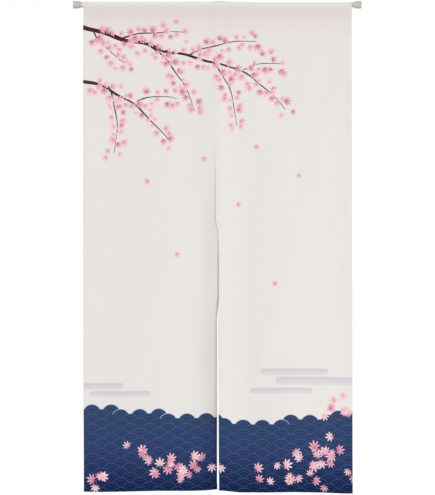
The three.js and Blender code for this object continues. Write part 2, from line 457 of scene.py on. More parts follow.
PUCKER_STRAYS = named_rows("rate phase size", (0.11, 0.0, 1.0), (0.047, 1.0, 0.6))
STITCH_DIP = {"deep": 0.35, "wide": 1.9}  # a side hem's row of stitches draws the cloth in
UNEVEN_FULL_Q = -120.0  # below this the slow waves have their full size
SIDES_FULL_Q = -60.0  # below this the side hems' puckers and dips have theirs
LAP_ROWS = (436.0, 441.0)  # the two rows of stitches that hold the lap


def pucker(along, from_row):
    """The ripple beside a row of stitches."""
    slow = sum(stray["size"] * np.sin(along * stray["rate"] + stray["phase"]) for stray in PUCKER_STRAYS)
    wave = np.sin(along * 2 * math.pi / PUCKER["pitch"] + PUCKER["stray"] * slow)
    return PUCKER["size"] * wave * np.exp(-((from_row / PUCKER["reach"]) ** 2))


def relief(panel, p, q):
    """The small unevenness of the cloth, outwards."""
    settle = ease(-q, -STITCH_Q, -UNEVEN_FULL_Q)
    total = np.zeros_like(p)
    for wave in UNEVEN:
        turn = 2 * math.pi * (p / wave["across"] + q / wave["up"]) + wave["phase"]
        total += wave["size"] * np.sin(turn) * settle
    for crease in CREASES:
        lean = math.radians(crease["lean"])
        across = (p - crease["p"]) * math.cos(lean) + (q - crease["q"]) * math.sin(lean)
        along = (q - crease["q"]) * math.cos(lean) - (p - crease["p"]) * math.sin(lean)
        away = (across / crease["wide"]) ** 2 + (along / crease["long"]) ** 2
        total -= crease["deep"] * np.exp(-away)
    low, high = sides_of(panel)
    hanging = ease(-q, -STITCH_Q, -SIDES_FULL_Q)
    for row in (low + SIDE_ROW, high - SIDE_ROW):
        dip = STITCH_DIP["deep"] * np.exp(-(((p - row) / STITCH_DIP["wide"]) ** 2))
        total += (pucker(q, p - row) - dip) * hanging
    total += pucker(p, q - BOTTOM_ROW_Q)
    total += pucker(p, q - STITCH_Q)
    return total


PROBE = 0.5  # the surface's slope is measured this far each way


def hang(panel, p, q, out=0.0):
    """Carries points of the flat cut cloth to where they hang, out from its middle by a distance."""
    low, high = sides_of(panel)
    past_low = low - p
    past_high = p - high
    side_in, side_depth, side_faces = hem_fold(np.maximum(past_low, past_high), SIDE_HEM)
    folded_p = np.where(past_low > 0, low + side_in, np.where(past_high > 0, high - side_in, p))
    bottom_in, bottom_depth, bottom_faces = hem_fold(BOTTOM_Q - q, BOTTOM_HEM)
    top_in, top_depth, top_faces = hem_fold(q - FLAP_END_Q, FLAP_HEM)
    folded_q = np.where(q < BOTTOM_Q, BOTTOM_Q + bottom_in, q)
    folded_q = np.where(q > FLAP_END_Q, FLAP_END_Q - top_in, folded_q)
    corner = near_side(panel, folded_p)
    end_depth = bottom_depth * (1 + CORNER_BULK["bottom"] * corner)
    end_depth = end_depth + top_depth * (1 + CORNER_BULK["flap"] * corner)
    end_faces = bottom_faces * top_faces
    depth = end_depth + (side_depth - out * side_faces) * end_faces
    point = middle(panel, folded_p, folded_q)
    across = middle(panel, folded_p + PROBE, folded_q) - middle(panel, folded_p - PROBE, folded_q)
    up = middle(panel, folded_p, folded_q + PROBE) - middle(panel, folded_p, folded_q - PROBE)
    normal = np.cross(across, up)
    normal /= np.linalg.norm(normal, axis=-1, keepdims=True)
    stand = stand_out(panel, folded_p, folded_q) + relief(panel, folded_p, folded_q) - depth
    return point + normal * stand[..., None], normal


probe, _ = hang(LEFT, np.array([33.0, 240.0, 454.0]), np.array([-1490.0, -700.0, -900.0]))
print("three hung points", np.round(probe, 1).tolist())

# %% [markdown]
# The printed design is ordinary and traditional: a bough of maple leaves in pale pinks, a few
# bands of mist, and fish-scale waves in indigo along the foot with leaves adrift on them. A
# picture file would do, but it would blur from near, and a pattern of shader nodes is slow to draw
# with. Here each motif is an outline in the flat cloth's own plane, and later the outlines are cut
# into the cloth's mesh, so that every edge of the print is crisp at any distance.

# %% Draw with outlines
def linear(code):
    """A colour from its six hex digits, as the linear values that shaders work in."""
    shares = np.array([int(code[i : i + 2], 16) / 255 for i in (0, 2, 4)])
    return np.where(shares <= 0.04045, shares / 12.92, ((shares + 0.055) / 1.055) ** 2.4)


CLOTH_COLOUR = np.array([0.785, 0.753, 0.724])
PINK = {"tip": linear("f0c6ce"), "heart": linear("e79fb2"), "vein": linear("d98aa0")}
DEEP_PINK = {"tip": linear("e9aebb"), "heart": linear("d67f97"), "vein": linear("bf6580")}
PALE_PINK = {"tip": linear("f5d7dc"), "heart": linear("efb6c4"), "vein": linear("e09db0")}
# painted shade: the cloth's colour is darkened in a band from the sleeve's front below the rod down into
# the cloth under the stitch line
SLEEVE_SHADE = {"from": (-115.0, -15.0), "to": (-14.0, 6.0), "tint": np.array([0.96, 0.91, 0.91])}
BARK = {"thick": linear("4b262d"), "thin": linear("6a3a41")}
MIST = linear("cfc8d3")
LONGEST_STEP = 10.0
shapes = []  # every outline with its paint, from the undermost to the uppermost


def finer(outline):
    """The same closed outline with points added, so that no side is too long to follow a fold."""
    points = []
    for start, end in zip(outline, np.roll(outline, -1, axis=0)):
        count = max(1, math.ceil(np.linalg.norm(end - start) / LONGEST_STEP))
        points.extend(start + (end - start) * i / count for i in range(count))
    return np.array(points)


def add_shape(outline, paint):
    shapes.append({"outline": finer(outline), "paint": paint})


def blend_of(first, second, share):
    """Colours between two, for an array of shares."""
    return first + (second - first) * np.clip(share, 0, 1)[:, None]


# %% Bands of mist
BANDS = named_rows(
    "start end q tall",
    (575, 770, -1122, 20),
    (625, 880, -1149, 24),
    (540, 720, -1180, 18),
    (10, 150, -1168, 20),
    (60, 235, -1192, 18),
)
MIST_FADE = 0.35  # the lower edge of a band keeps this share of its colour
ROUND_POINTS = 9  # round each end of a band


def mist_band(band):
    """A bar with round ends that fades towards its lower edge."""
    half = band["tall"] / 2
    turns = np.linspace(-math.pi / 2, math.pi / 2, ROUND_POINTS)
    right = np.stack([band["end"] + half * np.cos(turns), band["q"] + half * np.sin(turns)], 1)
    left = np.stack([band["start"] - half * np.cos(turns), band["q"] - half * np.sin(turns)], 1)

    def paint(p, q):
        share = MIST_FADE + (1 - MIST_FADE) * (q - band["q"] + half) / band["tall"]
        return blend_of(CLOTH_COLOUR, MIST, share)

    add_shape(np.concatenate([right, left]), paint)


for band in BANDS:
    mist_band(band)
print("mist bands", len(BANDS))

# %% Twigs as tapered ribbons
TWIGS = named_rows(  # each twig is one curve that bends once: where it starts, bends and ends
    "start bend end thick thin",
    ((10, -62), (230, -128), (452, -182), 15, 6),
    ((450, -181), (560, -205), (648, -318), 6, 1.8),
    ((10, -232), (150, -238), (298, -418), 11, 2.4),
    ((150, -103), (225, -78), (338, -84), 5.5, 1.8),
    ((238, -127), (330, -190), (372, -322), 6, 1.8),
    ((352, -157), (440, -108), (560, -112), 5, 1.8),
    ((430, -177), (492, -245), (500, -368), 4.5, 1.6),
    ((108, -245), (150, -330), (128, -452), 5, 1.6),
    ((196, -296), (262, -268), (318, -288), 4, 1.6),
    ((522, -199), (585, -168), (640, -182), 3.5, 1.6),
    ((60, -72), (90, -140), (178, -188), 4.5, 1.6),
)
TWIG_STEPS = 22
SWAY = {"length": 21, "least": 1.2, "by_thick": 0.22}  # a twig's slow bends
KNUCKLES = {"rate": 21, "size": 0.12}  # how its width swells and thins
TIP = 0.35  # its tip runs on past the last point by this share of a step
THICKEST = 15  # at this thickness the bark is darkest


def bent(twig, shares):
    """Points of the twig's curve, the directions along it and those across it."""
    start, bend, end = (np.array(twig[part], dtype=float) for part in ("start", "bend", "end"))
    share = np.asarray(shares, dtype=float)[:, None]
    place = (1 - share) ** 2 * start + 2 * share * (1 - share) * bend + share**2 * end
    way = (1 - share) * (bend - start) + share * (end - bend)
    way /= np.linalg.norm(way, axis=1, keepdims=True)
    across = np.stack([-way[:, 1], way[:, 0]], 1)
    length = np.linalg.norm(end - start)
    wide = SWAY["least"] + SWAY["by_thick"] * twig["thick"]
    sway = np.sin(share * length / SWAY["length"] + start[0]) * np.sin(share * math.pi) * wide
    return place + across * sway, way, across


def twig_ribbon(twig):
    shares = np.linspace(0, 1, TWIG_STEPS)
    place, _, across = bent(twig, shares)
    taper = twig["thick"] + (twig["thin"] - twig["thick"]) * shares
    knuckles = 1 + KNUCKLES["size"] * np.sin(shares * KNUCKLES["rate"] + twig["thick"])
    half = (taper * knuckles / 2)[:, None]
    tip = place[-1:] + (place[-1:] - place[-2:-1]) * TIP

    def paint(p, q):
        share = np.full(len(p), 1 - twig["thick"] / THICKEST)
        return blend_of(BARK["thick"], BARK["thin"], share)

    sides = [place - across * half, tip, (place + across * half)[::-1]]
    add_shape(np.concatenate(sides), paint)


for twig in sorted(TWIGS, key=lambda twig: twig["thick"]):
    twig_ribbon(twig)
print("twigs", len(TWIGS))

# %% [markdown]
# A maple leaf is drawn once, in polar measures: seven pointed lobes, each with its own turn from
# the middle one and its own reach, and a notch between each pair. Its veins are one thin star in
# the same directions. A function puts a copy of it anywhere, at any turn and size.

# %% Leaves
LOBES = named_rows(
    "turn reach",
    (0, 1.0),
    (36, 0.94),
    (73, 0.8),
    (114, 0.52),
)
HALF_LOBE = [(0.5, 13.5), (0.66, 11.5), (0.84, 5.5)]  # reach and turn from the lobe's own tip
LOBE_EDGE = HALF_LOBE + [(1, 0)] + [(reach, -turn) for reach, turn in HALF_LOBE[::-1]]
NOTCH = {"share": 0.45, "least": 0.04}  # how far out the notch between two lobes reaches
HEEL = (0.0, -0.1)  # where the blade meets the stem
VEIN = {"reach": 0.8, "width": 0.045}  # as shares of a lobe and of the leaf
both_sides = sorted(
    [{"turn": -lobe["turn"], "reach": lobe["reach"]} for lobe in LOBES[1:]] + LOBES,
    key=lambda lobe: -lobe["turn"],
)


def polar(reach, turn):
    """A point at a reach and at a turn in degrees from the leaf's own axis."""
    return (reach * math.sin(math.radians(turn)), reach * math.cos(math.radians(turn)))


def leaf_outline():
    points = []
    for lobe, following in zip(both_sides, both_sides[1:] + [None]):
        for reach, aside in LOBE_EDGE:
            points.append(polar(lobe["reach"] * reach, lobe["turn"] + aside))
        if following:
            between = (lobe["turn"] + following["turn"]) / 2
            shorter = min(lobe["reach"], following["reach"])
            points.append(polar(NOTCH["share"] * shorter + NOTCH["least"], between))
    return np.array(points + [HEEL])


def vein_star():
    points = []
    for lobe, following in zip(both_sides, both_sides[1:] + [None]):
        points.append(polar(lobe["reach"] * VEIN["reach"], lobe["turn"]))
        between = (lobe["turn"] + following["turn"]) / 2 if following else 180
        points.append(polar(VEIN["width"], between))
    return np.array(points)


LEAF = leaf_outline()
VEINS = vein_star()
TINT_RATE = 1.5  # the tip's tint is reached before the tip
STEM = np.array([(-0.03, 0.0), (-0.025, -0.25), (0.05, -0.52), (0.08, -0.5), (0.03, -0.24), (0.03, 0.0)])


def place_leaf(at, turn, size, tints):
    """One leaf with its heart at a place: its stem, its blade and its veins."""
    heart = np.array(at, dtype=float)
    cosine, sine = math.cos(math.radians(turn)), math.sin(math.radians(turn))
    spin = np.array([[cosine, -sine], [sine, cosine]])

    def moved(outline):
        return outline @ spin.T * size + heart

    def blade(p, q):
        reach = np.hypot(p - heart[0], q - heart[1]) / size
        return blend_of(tints["heart"], tints["tip"], reach * TINT_RATE)

    def vein(p, q):
        return np.tile(tints["vein"], (len(p), 1))

    for outline, paint in ((STEM, vein), (LEAF, blade), (VEINS, vein)):
        add_shape(moved(outline), paint)


luck = np.random.default_rng(11)
LEAF_GAP = 11.5  # along a twig
TWIG_MEASURES = 41  # a twig's length is measured between this many points
BARE = 0.12  # a twig's first stretch has no leaves
LEAF_LEAN = {"aside": 1.1, "ahead": 0.7, "down": 0.55, "stray": 0.25}  # of a leaf off its twig
SPRAY = {"size": (15, 22), "turn": 20, "off": (6, 33)}  # the spread of size, turn and distance


def leaves_along(twig):
    place, _, _ = bent(twig, np.linspace(0, 1, TWIG_MEASURES))
    length = np.linalg.norm(np.diff(place, axis=0), axis=1).sum()
    count = int(length / LEAF_GAP)
    for i in range(count + 1):
        share = BARE + (1 - BARE) * i / count
        (spot,), (ahead,), (side,) = bent(twig, [share])
        lean = side * (1 if i % 2 else -1) * LEAF_LEAN["aside"] + ahead * LEAF_LEAN["ahead"]
        lean = lean + np.array([0, -LEAF_LEAN["down"]])
        lean += luck.normal(0, LEAF_LEAN["stray"], 2)
        lean /= np.linalg.norm(lean)
        size = luck.uniform(*SPRAY["size"])
        turn = math.degrees(math.atan2(lean[1], lean[0])) - 90 + luck.uniform(-SPRAY["turn"], SPRAY["turn"])
        tints = (PINK, PINK, PALE_PINK, DEEP_PINK)[luck.integers(4)]
        place_leaf(spot + lean * luck.uniform(*SPRAY["off"]), turn, size, tints)


for twig in TWIGS:
    leaves_along(twig)
print("leaves on the bough", (len(shapes) - len(BANDS) - len(TWIGS)) // 3)

# %% Leaves adrift
FALLING = named_rows(
    "at turn size",
    ((405, -470), 150, 17),
    ((560, -432), 200, 16),
    ((232, -540), 120, 18),
    ((500, -610), 245, 16),
    ((690, -520), 170, 15),
    ((322, -762), 190, 17),
    ((612, -850), 130, 16),
)
AFLOAT = named_rows(  # leaves on the water, in loose rafts: a middle, a spread each way and how many
    "middle spread count",
    ((742, -1400), (62, 40), 24),
    ((618, -1445), (40, 22), 9),
    ((330, -1432), (62, 28), 18),
    ((208, -1376), (30, 20), 6),
    ((802, -1236), (30, 26), 9),
    ((76, -1452), (30, 18), 6),
)
AFLOAT_SIZE = (17, 25)
for leaf in FALLING:
    place_leaf(leaf["at"], leaf["turn"], leaf["size"], PINK)
for raft in AFLOAT:
    for _ in range(raft["count"]):
        spot = luck.normal(raft["middle"], raft["spread"])
        tints = (PINK, PALE_PINK, DEEP_PINK)[luck.integers(3)]
        place_leaf(spot, luck.uniform(0, 360), luck.uniform(*AFLOAT_SIZE), tints)
print("shapes in the print", len(shapes))

# %% [markdown]
# The waves are the fish-scale pattern: rows of circles, each row half a circle along from the one
# above and a quarter lower, and each in front of the row above. Only the shore, where the topmost
# circles stand against bare cloth with a pale crest, is cut as outlines. The rings inside the
# water repeat so evenly that the material can work them out for every spot by itself.

# %% Waves
SCALE_R = 30.0
ROW_FALL = SCALE_R / 2
WAVE_TOP_Q = -1222.0
SHORE = named_rows(  # how many rows lower the water starts, by place across
    "p rows",
    (0, 0),
    (150, 1),
    (290, 2),
    (480, 3),
    (640, 2),
    (760, 1),
)
SHORE_ROWS = 6  # below these rows all is water
CREST = 0.935  # the pale crest fills a shore circle from this share of its radius outwards
NEXT_CIRCLE = math.hypot(1, ROW_FALL / SCALE_R)  # in radii, the way to a circle one row down
ARC = {"open_past": 0.2, "hidden_past": 0.03, "points": 18}  # how far its ends run on, in radians
RINGS = named_rows(  # from the middle of a circle outwards: where a ring starts, and how much paler it is
    "from pale",
    (0.0, 0.008),
    (0.38, 0.042),
    (0.43, 0.0),
    (0.66, 0.042),
    (0.71, 0.0),
    (0.94, 0.07),
)
WATER = named_rows(
    "q colour",
    (-1225, linear("2e4668")),
    (-1370, linear("283c68")),
    (-1490, linear("001f49")),
)
FOAM = linear("dfe0ea")
CREST_COLOUR = linear("a9b6cf")


def shore_row(p):
    rows = np.zeros(np.shape(p), dtype=int)
    for step in SHORE:
        rows = np.where(np.asarray(p) >= step["p"], step["rows"], rows)
    return rows


def row_places(row):
    """The first circle's place across and the height of a row's circles."""
    return (SCALE_R if row % 2 else 0.0), WAVE_TOP_Q - SCALE_R - row * ROW_FALL


def water_at(p, q):
    """Whether each spot is water, and whether it is on a crest."""
    wet = q < row_places(SHORE_ROWS)[1]
    crest = np.zeros(len(p), dtype=bool)
    for row in range(SHORE_ROWS + 2):
        first, height = row_places(row)
        middle_p = first + np.round((p - first) / (2 * SCALE_R)) * 2 * SCALE_R
        share = np.hypot(p - middle_p, q - height) / SCALE_R
        inside = (share < 1) & (shore_row(middle_p) <= row)
        wet |= inside
        crest = np.where(inside, (shore_row(middle_p) == row) & (share > CREST), crest)
    return wet, crest


def water_paint(q, crest):
    levels = [stop["q"] for stop in WATER][::-1]
    parts = [np.interp(q, levels, [stop["colour"][i] for stop in WATER][::-1]) for i in range(3)]
    return np.where(crest[:, None], CREST_COLOUR, np.stack(parts, 1))


def shore_arcs(low_p, high_p):
    """The visible arcs of the circles near the shore, as lists of points."""
    arcs = []
    for row in range(SHORE_ROWS):
        first, height = row_places(row)
        nearest = math.floor((low_p - first) / (2 * SCALE_R))
        furthest = math.ceil((high_p - first) / (2 * SCALE_R))
        for i in range(nearest, furthest + 1):
            middle_p = first + i * 2 * SCALE_R
            if shore_row(middle_p) > row or shore_row(middle_p) < row - 1:
                continue
            for share in (1.0, CREST):
                reach = (share**2 + NEXT_CIRCLE**2 - 1) / (2 * NEXT_CIRCLE * share)
                hidden = math.acos(min(1.0, reach)) - math.atan(ROW_FALL / SCALE_R)
                topmost = shore_row(middle_p) == row
                start = -ARC["open_past"] if topmost else hidden - ARC["hidden_past"]
                turns = np.linspace(start, math.pi - start, ARC["points"])
                radius = share * SCALE_R
                circle = [middle_p + radius * np.cos(turns), height + radius * np.sin(turns)]
                arcs.append(np.stack(circle, 1))
    return arcs


print("scales of", SCALE_R, "mm from q", WAVE_TOP_Q, "down")

# %% [markdown]
# Now the flat cloth is cut. A constrained Delaunay triangulation takes loose points, lines that
# have to stay edges, and closed outlines, and gives back triangles with the outlines that each
# one lies in. The loose points are a grid, close together where the cloth turns tightly or
# puckers. The lines are the folds and the shore's arcs. A triangle takes its paint from
# the uppermost outline over it.

# %% Cut each panel with its print
GRID_STEP = 10.5  # between the loose points of open cloth
CLOSE_STEPS = {"stitches": 2.7, "lap": 3, "wall": 5, "loop": 1.8}
FOLD_POINTS = {"turn": 5, "tuck": 4}
STRIP = {"side": 3.0, "end": 3.2}  # a row of stitches has a line of points this far each way
STRIP_SHORT = {"bottom": 2, "top": 3, "side": 1}  # and the lines stop this far inside the edges
MARGIN = {"side": 20, "bottom": 4, "top": 6}  # the open cloth's points start this far in
NEAR = 0.01  # points closer than this are one point


def spaced(start, end, step):
    return np.linspace(start, end, max(1, round(abs(end - start) / step)) + 1)


def fold_stations(wide, tucked=True):
    """Distances past an edge where the hem's cloth needs a line of points."""
    turn = TURN_R * np.linspace(0, math.pi, FOLD_POINTS["turn"])
    run = turn[-1] + np.array([wide / 2, wide])
    if not tucked:
        return np.concatenate([turn, run])
    under = run[-1] + TUCK_R * np.linspace(0, math.pi, FOLD_POINTS["tuck"])[1:]
    return np.concatenate([turn, run, under, [hem_allowance(wide)]])


def grid_lines(panel):
    """The grid's places across and up, with the hems' and the sleeve's closer ones."""
    low, high = sides_of(panel)
    side = fold_stations(SIDE_HEM)
    inside = np.array([SIDE_HEM - HEM_EASE, SIDE_HEM, SIDE_HEM + HEM_EASE])
    open_cloth = spaced(low + MARGIN["side"], high - MARGIN["side"], GRID_STEP)
    across = [low - side, low + inside, open_cloth, high - inside, high + side]
    if panel["laps"]:
        across.append(spaced(LAP_BACK["start"], LAP_BACK["end"], CLOSE_STEPS["lap"]))
    wall = spaced(0, WALL, CLOSE_STEPS["wall"])
    up = [
        BOTTOM_Q - fold_stations(BOTTOM_HEM),
        spaced(BOTTOM_Q + MARGIN["bottom"], STITCH_Q - MARGIN["top"], GRID_STEP),
        STITCH_Q + wall,
        STITCH_Q + WALL + spaced(0, WRAP, CLOSE_STEPS["loop"]),
        STITCH_Q + WALL + WRAP + wall,
        [FLAP_END_Q],
        FLAP_END_Q + fold_stations(FLAP_HEM, tucked=False),
    ]
    return np.unique(np.round(np.concatenate(across), 4)), np.unique(np.round(np.concatenate(up), 4))


def stitch_strips(panel):
    """Closer points along the rows of stitches, where the cloth puckers."""
    low, high = sides_of(panel)
    strips = []
    lowest, highest = BOTTOM_Q + STRIP_SHORT["bottom"], STITCH_Q - STRIP_SHORT["top"]
    heights = spaced(lowest, highest, CLOSE_STEPS["stitches"])
    for row in (low + SIDE_ROW, high - SIDE_ROW):
        for away in (-STRIP["side"], 0.0, STRIP["side"]):
            strips.append(np.stack([np.full(len(heights), row + away), heights], 1))
    short = STRIP_SHORT["side"]
    places = spaced(low + short, high - short, CLOSE_STEPS["stitches"])
    for height in (BOTTOM_ROW_Q, STITCH_Q):
        for away in (-STRIP["end"], 0.0, STRIP["end"]):
            strips.append(np.stack([places, np.full(len(places), height + away)], 1))
    return strips


def cut_cloth(panel):
    """The flat panel as points and triangles, and each triangle's corner colours."""
    across, up = grid_lines(panel)
    left, right, bottom, top = across[0], across[-1], up[0], up[-1]
    points = [(left, bottom), (right, bottom), (right, top), (left, top)]
    edges = []
    faces = [(0, 1, 2, 3)]
    paints = [None]

    def add_line(line):
        start = len(points)
        points.extend(map(tuple, line))
        edges.extend((start + i, start + i + 1) for i in range(len(line) - 1))

    low, high = sides_of(panel)
    for fold in across[(across <= low) | (across >= high)]:
        add_line([(fold, bottom), (fold, top)])
    for fold in up[(up <= BOTTOM_Q) | (up >= FLAP_END_Q)]:
        add_line([(left, fold), (right, fold)])
    for fold in (STITCH_Q, FLAP_STITCH_Q):
        add_line([(left, fold), (right, fold)])
    for arc in shore_arcs(left, right):
        if arc[:, 0].max() > left and arc[:, 0].min() < right:
            add_line(arc)
    for shape in shapes:
        outline = shape["outline"]
        if outline[:, 0].max() < left or outline[:, 0].min() > right:
            continue
        start = len(points)
        points.extend(map(tuple, outline))
        faces.append(tuple(range(start, start + len(outline))))
        paints.append(shape)
    points.extend((p, q) for p in across for q in up)
    for strip in stitch_strips(panel):
        points.extend(map(tuple, strip))
    flat, _, cut, _, _, inside = delaunay_2d_cdt(points, edges, faces, 0, NEAR, True)
    kept = [(face, max(held)) for face, held in zip(cut, inside) if 0 in held]
    used, renumbered = np.unique([face for face, _ in kept], return_inverse=True)
    triangles = renumbered.reshape(-1, 3)
    topmost = np.array([top for _, top in kept])
    spots = np.array([tuple(flat[i]) for i in used])
    return spots, triangles, topmost, paints


def bare_cloth_and_shade(q):
    """The unprinted cloth's colour, with painted shade in a band over the sleeve's front and the cloth just
    below it.
    """
    shade_share = ease(q, *SLEEVE_SHADE["from"]) * (1 - ease(q, *SLEEVE_SHADE["to"]))
    return CLOTH_COLOUR * (1 + (SLEEVE_SHADE["tint"] - 1) * shade_share[:, None])


def print_colours(spots, triangles, topmost, paints):
    """The print's colour at each corner of each triangle, over the bare cloth with its painted shade at the
    sleeve, and 1 at corners in the water.
    """
    corner = spots[triangles.ravel()]
    colours = bare_cloth_and_shade(corner[:, 1])
    order = np.repeat(topmost, 3)
    middles = spots[triangles].mean(axis=1)
    wet, crest = (np.repeat(v, 3) for v in water_at(middles[:, 0], middles[:, 1]))
    afloat = shapes[len(BANDS) :]  # all but the mist lies over the water
    floats = [i for i, shape in enumerate(paints) if any(shape is other for other in afloat)]
    for index, shape in enumerate(paints):
        if shape is None:
            continue
        under = order == index
        if under.any():
            colours[under] = shape["paint"](corner[under, 0], corner[under, 1])
    wet &= ~np.isin(order, floats)
    colours[wet] = water_paint(corner[wet, 1], crest[wet])
    return colours, (wet & ~crest).astype(float)


def make_panel(panel):
    spots, triangles, topmost, paints = cut_cloth(panel)
    colours, water = print_colours(spots, triangles, topmost, paints)
    hung, _ = hang(panel, spots[:, 0], spots[:, 1])
    mesh = bpy.data.meshes.new(panel["name"] + "_cloth")
    mesh.from_pydata((hung * MM).tolist(), [], triangles.tolist())
    # the print's colours, with the bare cloth's painted shade at the sleeve
    ink = mesh.color_attributes.new("print", "FLOAT_COLOR", "CORNER")
    ink.data.foreach_set("color", np.column_stack([colours, np.ones(len(colours))]).ravel())
    waves = mesh.attributes.new("water", "FLOAT", "CORNER")
    waves.data.foreach_set("value", water)
    flat_map = mesh.uv_layers.new(name="flat")
    flat_map.data.foreach_set("uv", (spots[triangles.ravel()] * MM).ravel())
    mesh.shade_smooth()
    piece = new_object(panel["name"] + "_cloth", mesh)
    wall = piece.modifiers.new("thickness", "SOLIDIFY")
    wall.thickness = SHEET * MM
    wall.offset = 0
    wall.material_offset = 1
    even = piece.modifiers.new("even shading", "WEIGHTED_NORMAL")
    even.mode = "FACE_AREA"
    print(piece.name, len(triangles), "triangles on its front")
    middles = KDTree(len(triangles))
    for i, spot in enumerate(spots[triangles].mean(axis=1)):
        middles.insert((*spot, 0), i)
    middles.balance()
    return piece, {"middles": middles, "colours": colours.reshape(-1, 3, 3).mean(axis=1)}


left_cloth, left_print = make_panel(LEFT)
right_cloth, right_print = make_panel(RIGHT)

# %% [markdown]
# The cloth is a plain weave: each thread passes over one and under the next. Its height is a small
# wave along the cloth for the threads that lie on top at one crossing, and a wave across it for
# the others, with a checker to choose between them. The colour is made a little darker where the
# weave lies low, which is painted shade in its hollows, and the slubs give the threads an uneven
# tone of their own. The print is ink in that weave. On the back it shows through paler, so the back
# gets the same recipe with less ink.

# %% Weave the cloth's material
THREAD = 0.62  # from one thread to the next
# shade: the colour's scale from the weave's low parts to its high ones, a painted shade in its hollows
WEAVE = {"depth": 0.06, "bump": 0.6, "shade": (0.955, 1.02)}
SLUBS = {"stretch": (900.0, 60.0, 1.0), "detail": 2.0, "size": 0.5}  # threads of uneven thickness
CLOTH = {"rough": 0.92, "sheen": 0.01, "shine": 0.05}
BACK_INK = 0.55  # the share of the ink that shows on the back


def sums(tree, operation, *values):
    """The outcome of one sum on values or sockets, as a node of its own."""
    return add_node(tree, "Math", enumerate(values), operation=operation).outputs[0]


def ring_lines(tree, axes):
    """How much paler each spot of the water is: nodes that find its circle and its ring."""
    step = partial(sums, tree)
    circles = step("DIVIDE", axes.outputs["X"], 2 * SCALE_R * MM)
    top = (WAVE_TOP_Q - SCALE_R) * MM
    rows = step("DIVIDE", step("SUBTRACT", top, axes.outputs["Y"]), ROW_FALL * MM)
    row = step("FLOOR", rows)
    part = step("SUBTRACT", rows, row)
    odd = step("MODULO", row, 2)

    def aside(shift):
        """The way across to the nearest circle's middle in radii."""
        place = step("FRACT", step("ADD", step("MULTIPLY_ADD", shift, 0.5, 0.5), circles))
        return step("MULTIPLY", step("ABSOLUTE", step("SUBTRACT", place, 0.5)), 2)

    def share(across, rows_down):
        """The distance in radii from the middle of a circle so many rows down."""
        down = step("MULTIPLY", step("SUBTRACT", rows_down, part), ROW_FALL / SCALE_R)
        return step("SQRT", step("ADD", step("POWER", across, 2), step("POWER", down, 2)))

    same = aside(odd)
    other = aside(step("SUBTRACT", 1, odd))
    found = share(same, 0)
    for nearer in (share(other, 1), share(same, 2)):
        covers = step("LESS_THAN", nearer, 1)
        found = step("ADD", found, step("MULTIPLY", covers, step("SUBTRACT", nearer, found)))
    tones = add_node(tree, "ValToRGB", {"Fac": found})
    tones.color_ramp.interpolation = "CONSTANT"
    stops = tones.color_ramp.elements
    for stop, ring in zip([stops[0], stops[1]] + [stops.new(0.9) for _ in RINGS[2:]], RINGS):
        stop.position = ring["from"]
        stop.color = (ring["pale"], ring["pale"], ring["pale"], 1.0)
    water = add_node(tree, "Attribute", attribute_name="water")
    return step("MULTIPLY", tones.outputs["Color"], water.outputs["Fac"])


def cloth_material(name, ink_share):
    """Printed plain weave, with a share of the print's ink on this side."""
    material, tree, shader = own_material(name, CLOTH_COLOUR, CLOTH["rough"])
    shader.inputs["Sheen Weight"].default_value = CLOTH["sheen"]
    shader.inputs["Specular IOR Level"].default_value = CLOTH["shine"]
    step = partial(sums, tree)
    flat = add_node(tree, "UVMap", uv_map="flat").outputs["UV"]
    axes = add_node(tree, "SeparateXYZ", {"Vector": flat})

    def ridges(axis):
        """A thread's rounded height along one axis."""
        turn = step("MULTIPLY", axes.outputs[axis], math.pi / (THREAD * MM))
        return step("ABSOLUTE", step("SINE", turn))

    checker = add_node(tree, "TexChecker", {"Scale": 1 / (THREAD * MM), "Vector": flat})
    crossing = {"Factor": checker.outputs["Fac"], "A": ridges("X"), "B": ridges("Y")}
    weave = add_node(tree, "Mix", crossing).outputs["Result"]
    stretch = add_node(tree, "Mapping", {"Scale": SLUBS["stretch"], "Vector": flat})
    grainy = {"Scale": 1.0, "Detail": SLUBS["detail"], "Vector": stretch.outputs["Vector"]}
    slubs = add_node(tree, "TexNoise", grainy).outputs["Fac"]
    height = step("MULTIPLY_ADD", slubs, SLUBS["size"], weave)
    raised = {"Distance": WEAVE["depth"] * MM, "Strength": WEAVE["bump"], "Height": height}
    bump = add_node(tree, "Bump", raised)
    tree.links.new(bump.outputs["Normal"], shader.inputs["Normal"])

    # the print's colours, which hold the painted shade at the sleeve as well
    ink = add_node(tree, "VertexColor", layer_name="print").outputs["Color"]
    ringed = {"Factor": ring_lines(tree, axes), "A": ink, "B": (*FOAM, 1.0)}
    rings = add_node(tree, "Mix", ringed, data_type="RGBA").outputs["Result"]
    inked = {"Factor": ink_share, "A": (*CLOTH_COLOUR, 1.0), "B": rings}
    through = add_node(tree, "Mix", inked, data_type="RGBA").outputs["Result"]
    # painted shade: the colour is made darker where the weave lies low, and paler on the slubs
    darkest, palest = WEAVE["shade"]
    shade = add_node(tree, "MapRange", {"To Min": darkest, "To Max": palest, "Value": height})
    shaded = {0: through, "Scale": shade.outputs["Result"]}
    shaded_colour = add_node(tree, "VectorMath", shaded, operation="SCALE")
    tree.links.new(shaded_colour.outputs["Vector"], shader.inputs["Base Color"])
    return material


front_side = cloth_material("printed cloth front", 1.0)
back_side = cloth_material("printed cloth back", BACK_INK)
for piece in (left_cloth, right_cloth):
    piece.data.materials.append(front_side)
    piece.data.materials.append(back_side)
print("weave of", THREAD, "mm threads")

# %% [markdown]
# The rod is a spring-loaded one: a thin steel tube inside a slightly wider one, both coated pale,
# with a moulded cap pushed over each end. Each of the four is turned, so each is one profile spun
# round the rod's axis. Its sharp rims get a small bevel, because a cut tube is deburred and a
# moulding always has a radius, and a rim with one catches the light.

